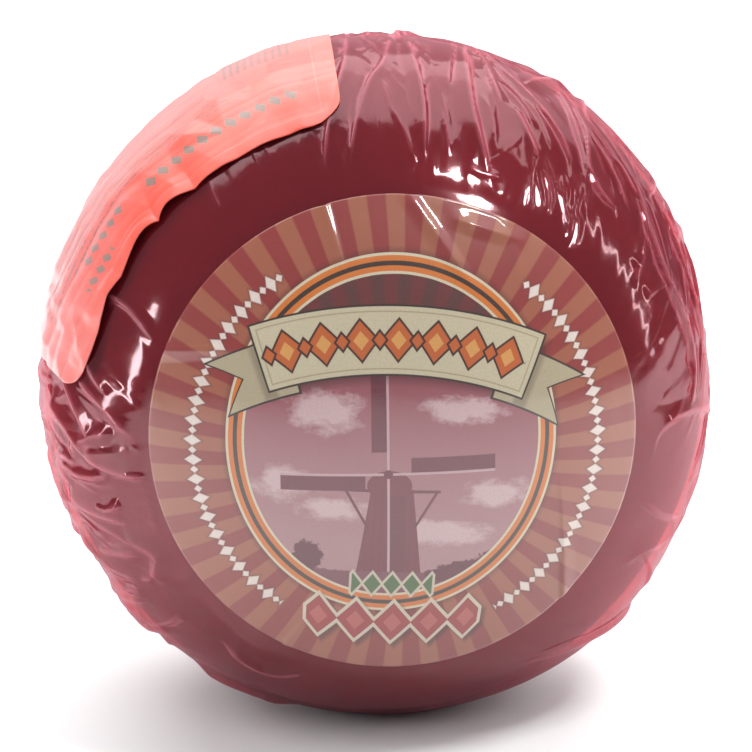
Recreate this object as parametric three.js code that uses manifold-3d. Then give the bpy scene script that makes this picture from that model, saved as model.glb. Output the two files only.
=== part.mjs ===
// A ball of waxed cheese wrapped in clear red film, stood on its rim so its round label faces forwards.
// Four pieces: the cheese with its coat of wax, the film, and two paper labels stuck on the film.
// Millimetres, +Z up. The round label faces -Y. The origin is on the floor, under the middle of the
// ball, at the centre of the small flat spot that the ball rests on.
import * as THREE from "three";
import { mergeVertices } from "three/addons/utils/BufferGeometryUtils.js";
import Module from "manifold-3d";

// The cheese. It is a little flatter from front to back, as pressed balls are.
const CHEESE_WIDTH = 151.2;
const CHEESE_HEIGHT = 155.6;
const CHEESE_DEPTH = 138.0;
// 2 gives a plain ellipsoid. A little more gives the fuller shoulders of a pressed ball.
const FULLNESS = 2.2;
// The ball's longest way leans a little towards +X.
const LEAN = THREE.MathUtils.degToRad(5);
// How much of the round underside the flat rest spot takes away.
const REST_DEPTH = 1.9;

// Clear space between two pieces that touch on the real object.
const GAP = 0.4;

// The film, as thick as its crumpled layers lie.
const FILM_THICKNESS = 0.5;
// The film is gathered into pleats behind the ball, round a small mouth.
const PLEATS = 32;
const PLEAT_HEIGHT = 2.4;
const PLEATS_START = THREE.MathUtils.degToRad(112);
const PLEATS_FULL = THREE.MathUtils.degToRad(172);
const MOUTH_DIAMETER = 9;

// Both labels are glossy paper.
const LABEL_THICKNESS = 0.3;
const ROUND_LABEL_DIAMETER = 107.4;
// The side label is an oblong with round corners that lies along the rim, at the upper left.
const SIDE_LABEL_LENGTH = 102;
const SIDE_LABEL_WIDTH = 66;
const SIDE_LABEL_CORNER = 8;
// Its middle, as an angle round the rim from the top towards +X, and an angle from the -Y pole.
const SIDE_LABEL_CLOCK = THREE.MathUtils.degToRad(-51);
const SIDE_LABEL_POLAR = THREE.MathUtils.degToRad(84.5);
// It was stuck on a little askew: its end at the top is nearer the round label.
const SIDE_LABEL_TURN = THREE.MathUtils.degToRad(1.6);

// How finely the curved skins are divided.
const CHEESE_COLUMNS = 48;
const CHEESE_ROWS = 22;
const FILM_ROWS = 28;
const ROUND_LABEL_COLUMNS = 48;
const ROUND_LABEL_RINGS = 9;
const SIDE_LABEL_COLUMNS = 14;
const CORNER_ROWS = 3;
const MIDDLE_ROWS = 8;

const WIDE = CHEESE_WIDTH / 2;
const TALL = CHEESE_HEIGHT / 2;
const DEEP = CHEESE_DEPTH / 2;
const FILM_LIFT = GAP + FILM_THICKNESS;
const LABEL_LIFT = FILM_LIFT + GAP;
const LABEL_TOP = LABEL_LIFT + LABEL_THICKNESS;
// The film's own flat spot is the floor, so this is how high the middle of the ball stands.
const CENTRE_HEIGHT = TALL + FILM_LIFT - REST_DEPTH;

const wasm = await Module();
wasm.setup();

// Leans a point of the upright ball and lifts it to where the ball stands.
function stand(x, y, z) {
  const across = x * Math.cos(LEAN) + z * Math.sin(LEAN);
  const up = z * Math.cos(LEAN) - x * Math.sin(LEAN);
  return new THREE.Vector3(across, y, up + CENTRE_HEIGHT);
}

// A point of the ball's skin, raised by lift. Polar runs from the -Y pole, clock round the rim
// from the top towards +X.
function skinPoint(polar, clock, lift) {
  const ring = Math.pow(Math.abs(Math.sin(polar)), 2 / FULLNESS);
  const along = Math.sign(Math.cos(polar)) * Math.pow(Math.abs(Math.cos(polar)), 2 / FULLNESS);
  return stand(
    (WIDE + lift) * ring * Math.sin(clock),
    -(DEEP + lift) * along,
    (TALL + lift) * ring * Math.cos(clock),
  );
}

// The point of the ball's front skin that lies behind a place on a flat disc facing -Y.
function frontPoint(radius, clock, lift) {
  const across = radius * Math.sin(clock) / (WIDE + lift);
  const up = radius * Math.cos(clock) / (TALL + lift);
  const ring = Math.pow(across * across + up * up, FULLNESS / 2);
  const along = Math.pow(1 - ring, 1 / FULLNESS);
  return stand(across * (WIDE + lift), -(DEEP + lift) * along, up * (TALL + lift));
}

function solidFrom(points, faces) {
  const geometry = new THREE.BufferGeometry();
  geometry.setAttribute(
    "position",
    new THREE.Float32BufferAttribute(points.flatMap((p) => [p.x, p.y, p.z]), 3),
  );
  geometry.setIndex(faces);
  return solidFromGeometry(geometry);
}

function solidFromGeometry(geometry) {
  geometry.deleteAttribute("normal");
  geometry.deleteAttribute("uv");
  const merged = mergeVertices(geometry, 1e-4);
  const mesh = new wasm.Mesh({
    numProp: 3,
    vertProperties: merged.attributes.position.array,
    triVerts: new Uint32Array(merged.index.array),
  });
  return new wasm.Manifold(mesh);
}

function meshFrom(name, solid, material) {
  const made = solid.getMesh();
  const geometry = new THREE.BufferGeometry();
  geometry.setAttribute("position", new THREE.BufferAttribute(made.vertProperties, 3));
  geometry.setIndex(new THREE.BufferAttribute(made.triVerts, 1));
  geometry.computeVertexNormals();
  const mesh = new THREE.Mesh(geometry, material);
  mesh.name = name;
  return mesh;
}

// A closed round body: a point at each pole and rings of points between them.
function roundBody(rows, columns, place) {
  const points = [place(0, 0)];
  for (let row = 1; row < rows; row++) {
    for (let column = 0; column < columns; column++) {
      points.push(place(row, column));
    }
  }
  points.push(place(rows, 0));
  const last = points.length - 1;
  const at = (row, column) => 1 + (row - 1) * columns + (column % columns);
  const faces = [];
  for (let column = 0; column < columns; column++) {
    faces.push(0, at(1, column + 1), at(1, column));
    faces.push(last, at(rows - 1, column), at(rows - 1, column + 1));
    for (let row = 1; row < rows - 1; row++) {
      faces.push(at(row, column), at(row + 1, column + 1), at(row + 1, column));
      faces.push(at(row, column), at(row, column + 1), at(row + 1, column + 1));
    }
  }
  return solidFrom(points, faces);
}

// A block that fills everything above a height.
function above(height) {
  const size = 3 * CHEESE_HEIGHT;
  const block = new THREE.BoxGeometry(size, size, size);
  block.translate(0, 0, height + size / 2);
  return solidFromGeometry(block);
}

// How far a pleat's crest stands up at an angle from the -Y pole.
function pleatRise(polar) {
  return PLEAT_HEIGHT * THREE.MathUtils.smoothstep(polar, PLEATS_START, PLEATS_FULL);
}

// The film's skin. Every second column of points is the crest of a pleat.
function filmBody(lift) {
  const columns = 2 * PLEATS;
  return roundBody(FILM_ROWS, columns, (row, column) => {
    const polar = Math.PI * row / FILM_ROWS;
    const clock = 2 * Math.PI * column / columns;
    const crest = row < FILM_ROWS ? column % 2 : 0;
    return skinPoint(polar, clock, lift + crest * pleatRise(polar));
  });
}

// The small round hole that the gathered film leaves behind the ball.
function mouth() {
  const plug = new THREE.CylinderGeometry(MOUTH_DIAMETER / 2, MOUTH_DIAMETER / 2, 20, 24);
  plug.translate(0, DEEP, 0);
  plug.translate(0, 0, CENTRE_HEIGHT);
  return solidFromGeometry(plug);
}

function cheese() {
  const body = roundBody(CHEESE_ROWS, CHEESE_COLUMNS, (row, column) =>
    skinPoint(Math.PI * row / CHEESE_ROWS, 2 * Math.PI * column / CHEESE_COLUMNS, 0),
  );
  const material = new THREE.MeshStandardMaterial({ color: 0x5c1118, roughness: 0.4, metalness: 0 });
  return meshFrom("cheese_ball", body.intersect(above(FILM_LIFT)), material);
}

function film() {
  const outside = filmBody(FILM_LIFT).intersect(above(0));
  const inside = filmBody(GAP).intersect(above(FILM_THICKNESS));
  const material = new THREE.MeshStandardMaterial({ color: 0x8c1523, roughness: 0.12, metalness: 0 });
  return meshFrom("film_wrap", outside.subtract(inside).subtract(mouth()), material);
}

// The round label: rings of points on its face, and the same rings below on its back.
function roundLabel() {
  const rings = ROUND_LABEL_RINGS;
  const body = roundBody(2 * rings + 1, ROUND_LABEL_COLUMNS, (row, column) => {
    const ring = Math.min(row, 2 * rings + 1 - row);
    const radius = ROUND_LABEL_DIAMETER / 2 * ring / rings;
    const clock = 2 * Math.PI * column / ROUND_LABEL_COLUMNS;
    return frontPoint(radius, clock, row <= rings ? LABEL_TOP : LABEL_LIFT);
  });
  const material = new THREE.MeshStandardMaterial({ color: 0xa35a55, roughness: 0.25, metalness: 0 });
  return meshFrom("front_label", body, material);
}

// How far across the side label each row of points lies. They are closer together at the corners.
function sideLabelRows() {
  const rows = [];
  for (let i = 0; i < CORNER_ROWS; i++) {
    rows.push(SIDE_LABEL_CORNER * (1 - Math.cos(Math.PI / 2 * i / CORNER_ROWS)));
  }
  const straight = SIDE_LABEL_WIDTH - 2 * SIDE_LABEL_CORNER;
  for (let i = 0; i <= MIDDLE_ROWS; i++) {
    rows.push(SIDE_LABEL_CORNER + straight * i / MIDDLE_ROWS);
  }
  for (let i = CORNER_ROWS - 1; i >= 0; i--) {
    rows.push(SIDE_LABEL_WIDTH - rows[i]);
  }
  return rows;
}

// How much shorter the side label is at each end, a distance in from its long edge.
function cornerInset(distance) {
  const reach = Math.max(0, SIDE_LABEL_CORNER - distance);
  return SIDE_LABEL_CORNER - Math.sqrt(SIDE_LABEL_CORNER ** 2 - reach ** 2);
}

// A place on the side label, measured from its middle: along the rim, and across it to the back.
function sideLabelPoint(along, across, lift) {
  const round = along * Math.cos(SIDE_LABEL_TURN) + across * Math.sin(SIDE_LABEL_TURN);
  const back = across * Math.cos(SIDE_LABEL_TURN) - along * Math.sin(SIDE_LABEL_TURN);
  const clock = SIDE_LABEL_CLOCK + round / (WIDE + lift);
  const polar = SIDE_LABEL_POLAR + back / ((WIDE + DEEP) / 2 + lift);
  return skinPoint(polar, clock, lift);
}

// The side label: a grid of points on its face, the same grid on its back, and a wall round the edge.
function sideLabel() {
  const rows = sideLabelRows();
  const width = SIDE_LABEL_COLUMNS + 1;
  const points = [];
  for (const lift of [LABEL_TOP, LABEL_LIFT]) {
    for (const row of rows) {
      const half = SIDE_LABEL_LENGTH / 2 - cornerInset(Math.min(row, SIDE_LABEL_WIDTH - row));
      for (let column = 0; column < width; column++) {
        const along = half * (2 * column / SIDE_LABEL_COLUMNS - 1);
        points.push(sideLabelPoint(along, row - SIDE_LABEL_WIDTH / 2, lift));
      }
    }
  }
  const at = (side, row, column) => (side * rows.length + row) * width + column;
  const faces = [];
  const quad = (a, b, c, d) => faces.push(a, b, c, a, c, d);
  const end = rows.length - 1;
  for (let row = 0; row < end; row++) {
    for (let column = 0; column < SIDE_LABEL_COLUMNS; column++) {
      quad(at(0, row, column), at(0, row, column + 1), at(0, row + 1, column + 1), at(0, row + 1, column));
      quad(at(1, row, column), at(1, row + 1, column), at(1, row + 1, column + 1), at(1, row, column + 1));
    }
    quad(at(0, row, 0), at(0, row + 1, 0), at(1, row + 1, 0), at(1, row, 0));
    const far = SIDE_LABEL_COLUMNS;
    quad(at(0, row + 1, far), at(0, row, far), at(1, row, far), at(1, row + 1, far));
  }
  for (let column = 0; column < SIDE_LABEL_COLUMNS; column++) {
    quad(at(0, 0, column + 1), at(0, 0, column), at(1, 0, column), at(1, 0, column + 1));
    quad(at(0, end, column), at(0, end, column + 1), at(1, end, column + 1), at(1, end, column));
  }
  const material = new THREE.MeshStandardMaterial({ color: 0xe08878, roughness: 0.3, metalness: 0 });
  return meshFrom("side_label", solidFrom(points, faces), material);
}

const part = new THREE.Group();
part.name = "cheese_ball_in_film";
part.add(cheese());
part.add(film());
part.add(roundLabel());
part.add(sideLabel());

export default part;
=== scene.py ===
"""A ball of waxed cheese in clear red film, with a round picture label and an oblong side label.

Shapes are worked out in millimetres in the frame of the CAD part and become metres in the meshes.
"""

import math

import bpy
import numpy as np
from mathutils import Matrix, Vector, geometry


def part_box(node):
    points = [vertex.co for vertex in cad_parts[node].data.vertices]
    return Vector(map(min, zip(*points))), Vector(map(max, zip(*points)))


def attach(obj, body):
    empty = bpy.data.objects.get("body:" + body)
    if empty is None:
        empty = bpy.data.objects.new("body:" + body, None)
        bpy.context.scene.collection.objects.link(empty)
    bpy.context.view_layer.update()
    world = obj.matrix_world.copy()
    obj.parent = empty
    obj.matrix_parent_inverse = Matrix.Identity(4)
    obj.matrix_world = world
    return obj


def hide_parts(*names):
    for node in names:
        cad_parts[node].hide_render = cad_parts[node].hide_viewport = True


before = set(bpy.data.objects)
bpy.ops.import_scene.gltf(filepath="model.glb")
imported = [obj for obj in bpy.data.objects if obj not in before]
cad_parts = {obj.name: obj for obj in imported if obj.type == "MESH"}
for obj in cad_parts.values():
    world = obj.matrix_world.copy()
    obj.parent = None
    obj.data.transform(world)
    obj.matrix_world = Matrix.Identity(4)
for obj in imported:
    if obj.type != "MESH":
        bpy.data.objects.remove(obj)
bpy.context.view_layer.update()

MM = 0.001
# How many millimetres of a label its square UV map is across.
UV_SPAN = 128.0

# The ball, as in the CAD part: half its width, depth and height, how full its shoulders are, its lean.
WIDE, DEEP, TALL = 75.6, 69.0, 77.8
FULLNESS = 2.2
LEAN = math.radians(5)

# How far each skin lies above the wax.
FILM_LIFT = 0.5
FILM_THICKNESS = 0.06
LABEL_LIFT = 1.35
LABEL_THICKNESS = 0.18

ROUND_LABEL_RADIUS = 53.7
SIDE_LABEL_LENGTH = 102.0
SIDE_LABEL_WIDTH = 66.0
SIDE_LABEL_CORNER = 8.0
SIDE_LABEL_CLOCK = math.radians(-51)
SIDE_LABEL_POLAR = math.radians(84.5)
SIDE_LABEL_TURN = math.radians(1.6)


# ---------------------------------------------------------------- the ball's shape


def skin(polar, clock, lift):
    """Points of the ball's skin. Polar runs from the -Y pole, clock from the top towards +X."""
    sine, cosine = np.sin(polar), np.cos(polar)
    ring = np.abs(sine) ** (2 / FULLNESS)
    along = np.sign(cosine) * np.abs(cosine) ** (2 / FULLNESS)
    x = (WIDE + lift) * ring * np.sin(clock)
    y = -(DEEP + lift) * along
    z = (TALL + lift) * ring * np.cos(clock)
    return stand(x, y, z)


def front(radius, clock, lift):
    """Points of the ball's front skin behind a flat disc that faces -Y."""
    across = radius * np.sin(clock) / (WIDE + lift)
    up = radius * np.cos(clock) / (TALL + lift)
    ring = (across**2 + up**2) ** (FULLNESS / 2)
    along = (1 - ring) ** (1 / FULLNESS)
    return stand(across * (WIDE + lift), -(DEEP + lift) * along, up * (TALL + lift))


def stand(x, y, z):
    """Leans the upright ball and lifts it to where it stands on the floor."""
    across = x * math.cos(LEAN) + z * math.sin(LEAN)
    up = z * math.cos(LEAN) - x * math.sin(LEAN)
    return np.stack(np.broadcast_arrays(across, y, up + CENTRE_HEIGHT), -1)


# The ball is first stood at height 0, to find how far up its centre has to go to match the CAD part.
CENTRE_HEIGHT = 0.0
ROUND = np.linspace(0, 2 * math.pi, 721)
CENTRE_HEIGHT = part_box("cheese_ball")[1][2] / MM - skin(math.pi / 2, ROUND, 0.0)[:, 2].max()
CHEESE_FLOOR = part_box("cheese_ball")[0][2] / MM


# ---------------------------------------------------------------- meshes from grids of points


def mesh_object(name, points, faces):
    """A smooth-shaded object from points in millimetres and faces that all have as many corners."""
    mesh = bpy.data.meshes.new(name)
    faces = np.asarray(faces, np.int32)
    sides = faces.shape[1]
    mesh.vertices.add(len(points))
    mesh.vertices.foreach_set("co", (np.asarray(points, np.float64) * MM).ravel())
    mesh.loops.add(faces.size)
    mesh.loops.foreach_set("vertex_index", faces.ravel())
    mesh.polygons.add(len(faces))
    mesh.polygons.foreach_set("loop_start", np.arange(0, faces.size, sides))
    mesh.update(calc_edges=True)
    mesh.validate()
    mesh.polygons.foreach_set("use_smooth", np.ones(len(mesh.polygons), bool))
    thing = bpy.data.objects.new(name, mesh)
    bpy.context.scene.collection.objects.link(thing)
    return thing


def ring_quads(rows, columns, first=0, flip=False):
    """Quads between rows of points that each close into a ring."""
    row, column = np.meshgrid(np.arange(rows - 1), np.arange(columns), indexing="ij")
    nxt = (column + 1) % columns
    a = row * columns + column
    b = row * columns + nxt
    c = (row + 1) * columns + nxt
    d = (row + 1) * columns + column
    quads = np.stack([a, b, c, d], -1).reshape(-1, 4) + first
    return quads[:, ::-1] if flip else quads


def patch_quads(rows, columns, first=0, flip=False):
    """Quads of an open grid of points."""
    row, column = np.meshgrid(np.arange(rows - 1), np.arange(columns - 1), indexing="ij")
    a = row * columns + column
    quads = np.stack([a, a + 1, a + columns + 1, a + columns], -1).reshape(-1, 4) + first
    return quads[:, ::-1] if flip else quads


def set_uv(thing, flat_points, span):
    """A UV map whose square is span millimetres across, centred on the flat points' origin."""
    mesh = thing.data
    layer = mesh.uv_layers.new(name="flat")
    corner = np.zeros(len(mesh.loops), np.int32)
    mesh.loops.foreach_get("vertex_index", corner)
    uv = flat_points[corner] / span + 0.5
    layer.data.foreach_set("uv", uv.astype(np.float32).ravel())


def set_number(thing, name, values):
    layer = thing.data.attributes.new(name, "FLOAT", "POINT")
    layer.data.foreach_set("value", np.asarray(values, np.float32).ravel())


# ---------------------------------------------------------------- the film's folds

COLUMNS = 1120
FINE_START = math.radians(38)
FINE_ROWS = 390
CAP_ROWS = 5
MOUTH_POLAR = math.pi - math.radians(1.6)


def film_rows():
    """The polar angles of the film's rows: a few under the round label, then fine ones to the gather."""
    cap = np.linspace(math.radians(2), FINE_START, CAP_ROWS, endpoint=False)
    return np.concatenate([cap, np.linspace(FINE_START, MOUTH_POLAR, FINE_ROWS)])


POLAR = film_rows()
CLOCK = np.arange(COLUMNS) * 2 * math.pi / COLUMNS
# Roughly how far a point is round the rim and from the front pole, in millimetres.
MEAN_RADIUS = 76.0
ALONG = POLAR * MEAN_RADIUS


def step(low, high, value):
    share = np.clip((value - low) / (high - low), 0, 1)
    return share * share * (3 - 2 * share)


def clock_gap(clock, centre):
    """The signed angle from a clock direction, between half a turn back and half a turn on."""
    return (clock - centre + math.pi) % (2 * math.pi) - math.pi


def facets(random, across, along, power=1.0, spread=0.42):
    """A creased field of flat facets, each about across by along millimetres, from 0 to 1."""
    columns = max(6, round(2 * math.pi * MEAN_RADIUS / across))
    rows = math.ceil(math.pi * MEAN_RADIUS / along) + 3
    spots, heights = [], []
    for row in range(rows):
        shift = 0.5 * (row % 2)
        for column in range(columns):
            clock = (column + shift + random.uniform(-spread, spread)) / columns * 2 * math.pi
            place = (row - 1 + random.uniform(-spread, spread)) * along
            height = random.random() ** power
            spots.append((clock % (2 * math.pi), place))
            heights.append(height)
    turn = 2 * math.pi
    margin = 3 * turn / columns
    wrapped = [(c + turn, p, h) for (c, p), h in zip(spots, heights) if c < margin]
    wrapped += [(c - turn, p, h) for (c, p), h in zip(spots, heights) if c > turn - margin]
    all_points = [(c, p, h) for (c, p), h in zip(spots, heights)] + wrapped
    stretch = columns / turn
    flat = [Vector((c * stretch, p / along)) for c, p, h in all_points]
    net = geometry.delaunay_2d_cdt(flat, [], [], 0, 1e-6)
    corners, triangles, sources = net[0], net[2], net[3]
    height = np.array([all_points[s[0]][2] for s in sources])
    u = np.array([corner.x for corner in corners]) / stretch / turn * COLUMNS
    place = np.array([corner.y for corner in corners]) * along
    v = np.interp(place, ALONG, np.arange(len(ALONG)))
    below = place < ALONG[0]
    v = np.where(below, -1.0, v)
    field = np.zeros((len(POLAR), COLUMNS))
    for triangle in triangles:
        draw_triangle(field, u[list(triangle)], v[list(triangle)], height[list(triangle)])
    return field


def sheared(field, slant):
    """The field with each row slid round the ball: slant is clock degrees per degree of polar."""
    shift = np.round(slant * (POLAR - math.radians(70)) / (2 * math.pi) * COLUMNS).astype(int)
    return np.stack([np.roll(row, by) for row, by in zip(field, shift)])


def draw_triangle(field, u, v, height):
    """Fills one triangle of a grid with heights that run evenly between its corners."""
    rows, columns = field.shape
    left, right = max(0, math.ceil(u.min())), min(columns - 1, math.floor(u.max()))
    low, high = max(0, math.ceil(v.min())), min(rows - 1, math.floor(v.max()))
    if right < left or high < low:
        return
    area = (u[1] - u[0]) * (v[2] - v[0]) - (u[2] - u[0]) * (v[1] - v[0])
    if abs(area) < 1e-9:
        return
    x, y = np.meshgrid(np.arange(left, right + 1), np.arange(low, high + 1))
    b = ((x - u[0]) * (v[2] - v[0]) - (u[2] - u[0]) * (y - v[0])) / area
    c = ((u[1] - u[0]) * (y - v[0]) - (x - u[0]) * (v[1] - v[0])) / area
    a = 1 - b - c
    inside = (a >= -1e-6) & (b >= -1e-6) & (c >= -1e-6)
    value = a * height[0] + b * height[1] + c * height[2]
    block = field[low : high + 1, left : right + 1]
    block[inside] = value[inside]


def soft_noise(random, waves, count=14):
    """A smooth field from about -1 to 1, with roughly that many waves round the ball."""
    clock, polar = np.meshgrid(CLOCK, POLAR)
    field = np.zeros_like(clock)
    for _ in range(count):
        turns = random.integers(-waves, waves + 1)
        rate = random.uniform(-waves, waves)
        field += np.cos(turns * clock + rate * polar + random.uniform(0, 2 * math.pi))
    return field / math.sqrt(count / 2)


def blur(field, amount):
    """Softens a field by that many grid steps, round the clock and along the rows."""
    reach = max(1, math.ceil(2.5 * amount))
    taps = np.exp(-0.5 * (np.arange(-reach, reach + 1) / amount) ** 2)
    taps /= taps.sum()
    round_clock = sum(w * np.roll(field, k, axis=1) for w, k in zip(taps, range(-reach, reach + 1)))
    padded = np.pad(round_clock, ((reach, reach), (0, 0)), mode="edge")
    rows = field.shape[0]
    return sum(w * padded[k : k + rows] for w, k in zip(taps, range(2 * reach + 1)))


def ridge(away, height, gentle, steep):
    """A crease's height at a distance from its line: gentle on one side, steep on the other."""
    rise = np.clip(1 + away / gentle, 0, 1) ** 1.3
    drop = np.clip(1 - away / steep, 0, 1)
    return np.where(away < 0, rise, drop) * height


def smooth_curve(line, pieces=8):
    """More points, in radians, on a smooth curve through a line's own points in degrees."""
    points = np.array([line[0], *line, line[-1]], float)
    share = np.linspace(0, 1, pieces, endpoint=False)[:, None]
    curve = []
    for a, b, c, d in zip(points, points[1:], points[2:], points[3:]):
        bend = 2 * a - 5 * b + 4 * c - d
        turn = 3 * b - a - 3 * c + d
        curve.append(b + 0.5 * ((c - a) * share + bend * share**2 + turn * share**3))
    return np.radians(np.concatenate([*curve, points[-1:]]))


def add_crease(field, line, height, gentle, steep=0.6):
    """Draws a crease of the film along a line of clock and polar angles in degrees.

    Its height and its width on each side are in millimetres. The gentle side is on the left of
    the line as it runs, seen from outside the ball.
    """
    curve = smooth_curve(line)
    pad = max(gentle, steep) / MEAN_RADIUS
    low, high = curve.min(0), curve.max(0)
    rows = np.arange(*np.searchsorted(POLAR, [low[1] - pad, high[1] + pad]))
    side = pad / max(0.15, np.sin(curve[:, 1]).min())
    pitch = 2 * math.pi / COLUMNS
    columns = np.arange(math.floor((low[0] - side) / pitch), math.ceil((high[0] + side) / pitch) + 1)
    if not len(rows):
        return
    polar, clock = POLAR[rows][:, None], (columns * pitch)[None, :]
    nearest = np.full((len(rows), len(columns)), 1e9)
    away, place = np.zeros_like(nearest), np.zeros_like(nearest)
    run = 0.0
    for (c0, p0), (c1, p1) in zip(curve, curve[1:]):
        x = (clock - c0) * MEAN_RADIUS * np.sin(polar)
        y = (polar - p0) * MEAN_RADIUS + 0 * clock
        dx = (c1 - c0) * MEAN_RADIUS * math.sin((p0 + p1) / 2)
        dy = (p1 - p0) * MEAN_RADIUS
        length = max(1e-6, math.hypot(dx, dy))
        along = np.clip((x * dx + y * dy) / length, 0, length)
        gap = np.hypot(x - along * dx / length, y - along * dy / length)
        closer = gap < nearest
        nearest[closer] = gap[closer]
        away[closer] = (gap * np.sign(x * dy - y * dx))[closer]
        place[closer] = (run + along)[closer]
        run += length
    fade = step(0, 0.25, place / run) * step(0, 0.25, 1 - place / run)
    shape = ridge(away, height, gentle, steep) * fade
    window = np.ix_(rows, columns % COLUMNS)
    field[window] = np.maximum(field[window], shape)


def random_creases(random, field, count, clock_range, polar_range, heights, widths, slant, lengths):
    """Creases near each other and about along one direction: slant is clock degrees per degree."""
    for _ in range(count):
        clock = random.uniform(*clock_range)
        polar = random.uniform(*polar_range)
        length = random.uniform(*lengths)
        turn = (slant + random.normal(0, 0.16)) * length
        bow = random.normal(0, 0.07) * length
        middle = (clock + turn / 2 + bow, polar + length / 2)
        line = ((clock, polar), middle, (clock + turn, polar + length))
        height = random.uniform(*heights)
        width = random.uniform(*widths)
        if random.random() < 0.5:
            line = line[::-1]
        steep = width if random.random() < 0.25 else 0.6
        add_crease(field, line, height, width, steep)


# The rear pleats: how many go round, where they start and are full in polar degrees, their height.
REAR_PLEATS = (
    (23, 88, 158, 1.3),
    (37, 112, 176, 1.2),
    (61, 134, 176, 0.8),
    (119, 100, 138, 1.9),
)


def rear_pleats(random):
    """Pleats that take up the sleeve's width as it is gathered behind the ball."""
    clock, polar = np.meshgrid(CLOCK, POLAR)
    wander = 0.35 * soft_noise(random, 3)
    field = np.zeros_like(clock)
    for pleats, start, end, height in REAR_PLEATS:
        phase = pleats * clock + wander * 3 + random.uniform(0, 6)
        saw = (phase / (2 * math.pi)) % 1
        shape = np.where(saw < 0.78, saw / 0.78, (1 - saw) / 0.22)
        grow = step(math.radians(start), math.radians(end), polar)
        uneven = 0.65 + 0.35 * np.sin(3 * clock + pleats)
        field += shape * grow * height * uneven
    return field


# The film's main creases: points of clock and polar degrees, then height, gentle width, steep width.
MAIN_CREASES = (
    # long pleats from the top down to the round label
    (((-10, 97), (-12, 76), (-16, 61), (-21, 44)), 0.9, 5.0, 0.6),
    (((-2, 96), (-5, 77), (-8, 69), (-12, 56), (-15, 44)), 0.8, 4.0, 0.6),
    (((-15, 74), (-10, 82), (-4, 84)), 0.5, 3.0, 0.6),
    (((2, 46), (2, 60), (1, 74), (0, 95)), 0.8, 4.5, 0.6),
    (((0, 60), (2, 68), (6, 80)), 0.4, 2.5, 0.6),
    (((6, 64), (7, 78), (9, 97)), 0.7, 6.0, 0.6),
    (((20, 43), (15, 51), (11, 64), (10, 78), (10, 96)), 1.2, 5.0, 0.6),
    (((11, 98), (14, 76), (17, 64)), 0.8, 3.5, 0.6),
    # long pleats that sweep from the top down the right shoulder
    (((10, 97), (16, 82), (24, 71), (30, 64), (35, 57)), 1.0, 6.0, 0.6),
    (((17, 90), (26, 86), (31, 72), (35, 62), (37, 55)), 0.9, 5.0, 0.6),
    (((26, 88), (32, 76), (35, 64), (40, 60), (47, 62)), 1.1, 5.0, 0.6),
    (((20, 86), (28, 83), (36, 76), (44, 70)), 0.7, 4.0, 0.6),
    (((36, 53), (40, 46), (39, 41)), 0.5, 2.5, 0.6),
    (((50, 64), (54, 58), (56, 51)), 0.6, 4.0, 0.6),
    # bands round the right rim
    (((38, 78), (44, 74), (50, 66), (60, 62), (74, 64), (84, 62), (90, 54)), 1.3, 7.0, 1.2),
    (((50, 80), (58, 74), (68, 72), (80, 74)), 1.2, 6.0, 1.0),
    (((96, 49), (88, 50), (86, 58), (88, 72), (92, 84)), 1.2, 6.0, 1.0),
    (((102, 47), (106, 58), (107, 76)), 0.9, 5.0, 0.6),
    (((118, 52), (113, 60), (110, 74)), 0.8, 7.0, 2.0),
    (((113, 54), (117, 66), (123, 76)), 0.8, 5.0, 1.0),
    (((124, 88), (130, 72), (138, 60), (150, 53)), 1.3, 6.0, 1.0),
    # the crumpled left
    (((-72, 64), (-71, 54), (-74, 45)), 0.7, 3.0, 0.6),
    (((-78, 70), (-84, 62), (-90, 50)), 1.2, 5.0, 0.6),
    (((-88, 64), (-91, 54), (-97, 45)), 1.6, 6.0, 0.6),
    (((-86, 74), (-94, 62), (-102, 55)), 1.6, 6.0, 0.6),
    (((-94, 78), (-99, 64), (-104, 57)), 1.8, 7.0, 0.6),
    (((-101, 62), (-104, 52), (-105, 43)), 1.8, 7.0, 0.6),
    (((-104, 90), (-110, 82), (-113, 70)), 2.0, 7.0, 0.6),
    (((-111, 74), (-113, 62), (-115, 51)), 1.6, 7.0, 0.6),
    (((-116, 78), (-124, 68), (-128, 54)), 1.4, 8.0, 0.6),
    (((-118, 56), (-123, 49), (-129, 55)), 0.9, 5.0, 1.0),
    (((-134, 78), (-138, 64), (-137, 50)), 1.2, 8.0, 1.2),
    (((-146, 50), (-158, 54), (-166, 48)), 0.9, 4.0, 1.0),
    (((-150, 80), (-160, 70), (-170, 72)), 1.6, 7.0, 1.0),
    # short creases above the round label
    (((11, 49), (15, 48), (19, 49)), 0.6, 2.0, 2.0),
    (((-42, 59), (-43, 50)), 0.35, 2.0, 0.6),
    (((-32, 60), (-32, 53)), 0.25, 1.5, 0.6),
    (((-30, 60), (-29, 54)), 0.25, 1.5, 0.6),
)


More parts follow.
